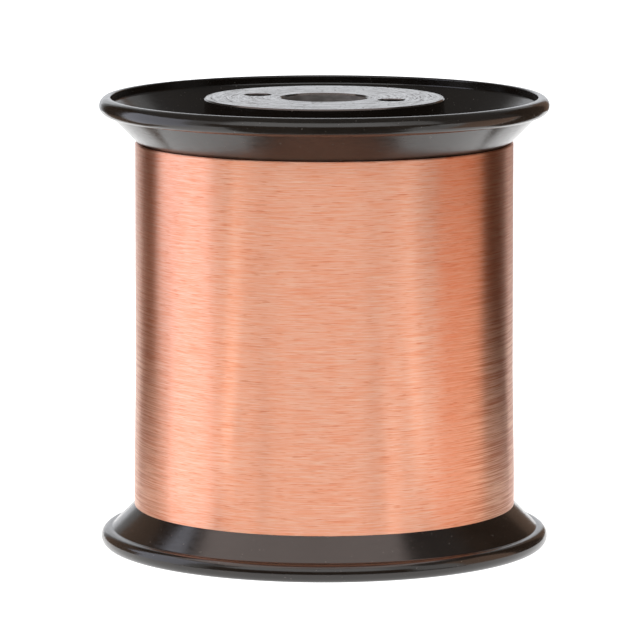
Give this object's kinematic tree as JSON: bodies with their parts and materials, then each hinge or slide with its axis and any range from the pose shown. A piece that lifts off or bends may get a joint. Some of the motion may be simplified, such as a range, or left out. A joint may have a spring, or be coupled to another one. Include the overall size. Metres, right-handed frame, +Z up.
{
  "type": "wire spool",
  "caption": "Delivery spool with conical rimmed flanges and recessed ends, wound full with fine copper wire. It feeds wire as it turns on an arbor or stands on end.",
  "frame": {"origin": "centre of the base, at the height of the lower rim's crest", "axes": "+Z up the spool's axis from the lower flange to the upper one; the drive holes lie on a line turned 21.6 degrees clockwise from X, seen from above"},
  "size_m": [0.16, 0.16, 0.1608],
  "materials": {
    "black_plastic": "glossy injection-moulded black styrene, with faint scuffs on the hub faces",
    "inner_plastic": "black plastic as it comes from the mould, with a satin surface",
    "enamelled_copper": "bright copper under clear enamel, in level turns that give a fine brushed sheen",
    "film_tape": "thin amber polyester film tape"
  },
  "bodies": {
    "root": {"upper_flange": "black_plastic", "lower_flange": "black_plastic", "barrel": "inner_plastic", "upper_hub": "black_plastic", "lower_hub": "black_plastic", "arbor_tube": "inner_plastic", "wire_winding": "enamelled_copper", "start_end_tape": "film_tape", "finish_end_tape": "film_tape"}
  },
  "joints": []
}
